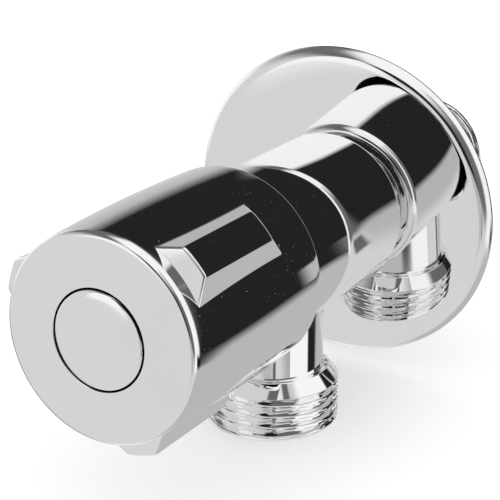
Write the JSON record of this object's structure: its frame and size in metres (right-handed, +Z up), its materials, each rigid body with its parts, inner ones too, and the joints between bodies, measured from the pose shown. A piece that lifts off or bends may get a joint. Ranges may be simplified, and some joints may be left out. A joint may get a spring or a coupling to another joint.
{
  "type": "angle valve",
  "caption": "Chrome quarter-turn angle valve with a round wall flange, a threaded inlet stub behind it, a threaded outlet pointing down and a ribbed barrel handle in front.",
  "frame": {"origin": "on the axis of the inlet and the handle, in the wall plane that the flange's rim rests against", "axes": "+Y into the wall along the inlet, -Y to the front along the handle, +Z up, -Z down the outlet"},
  "size_m": [0.053, 0.1052, 0.0552],
  "materials": {
    "polished_chrome": "mirror-polished chrome plating on brass",
    "handle_chrome": "mirror-polished chrome plating on a die-cast handle",
    "flange_chrome": "polished stainless steel sheet, chrome bright",
    "button_chrome": "bright chrome-plated cap",
    "raw_brass": "turned brass, unplated",
    "spindle_brass": "turned brass, lightly greased",
    "ceramic": "lapped alumina ceramic",
    "dark_rubber": "moulded nitrile rubber",
    "seal_fibre": "pressed fibre gasket",
    "low_friction_plastic": "white acetal",
    "grey_plastic": "moulded nylon",
    "white_plastic": "moulded polypropylene",
    "stainless": "stainless steel"
  },
  "bodies": {
    "root": {"valve_body": "polished_chrome", "bonnet_housing": "raw_brass", "bonnet_seal": "seal_fibre", "seat_gasket": "dark_rubber", "fixed_ceramic_disc": "ceramic", "silencer_screen": "white_plastic", "strainer_ring": "grey_plastic", "strainer_mesh": "stainless"},
    "handle": {"handle_shell": "handle_chrome", "handle_insert": "grey_plastic", "handle_screw": "stainless", "screw_washer": "stainless", "index_button": "button_chrome", "button_ring": "dark_rubber", "spindle": "spindle_brass", "spindle_o_rings": "dark_rubber", "thrust_washer": "low_friction_plastic", "spindle_circlip": "stainless", "travel_stop_ring": "raw_brass", "moving_ceramic_disc": "ceramic"},
    "flange": {"wall_flange": "flange_chrome"}
  },
  "joints": [
    {"name": "handle_turn", "type": "hinge", "parent": "root", "child": "handle", "pos_m": [0, -0.04, 0], "axis": [0, -1, 0], "range_deg": [0, 90]},
    {"name": "flange_slide", "type": "slide", "parent": "root", "child": "flange", "axis": [0, -1, 0], "range_m": [0, 0.0012]}
  ]
}
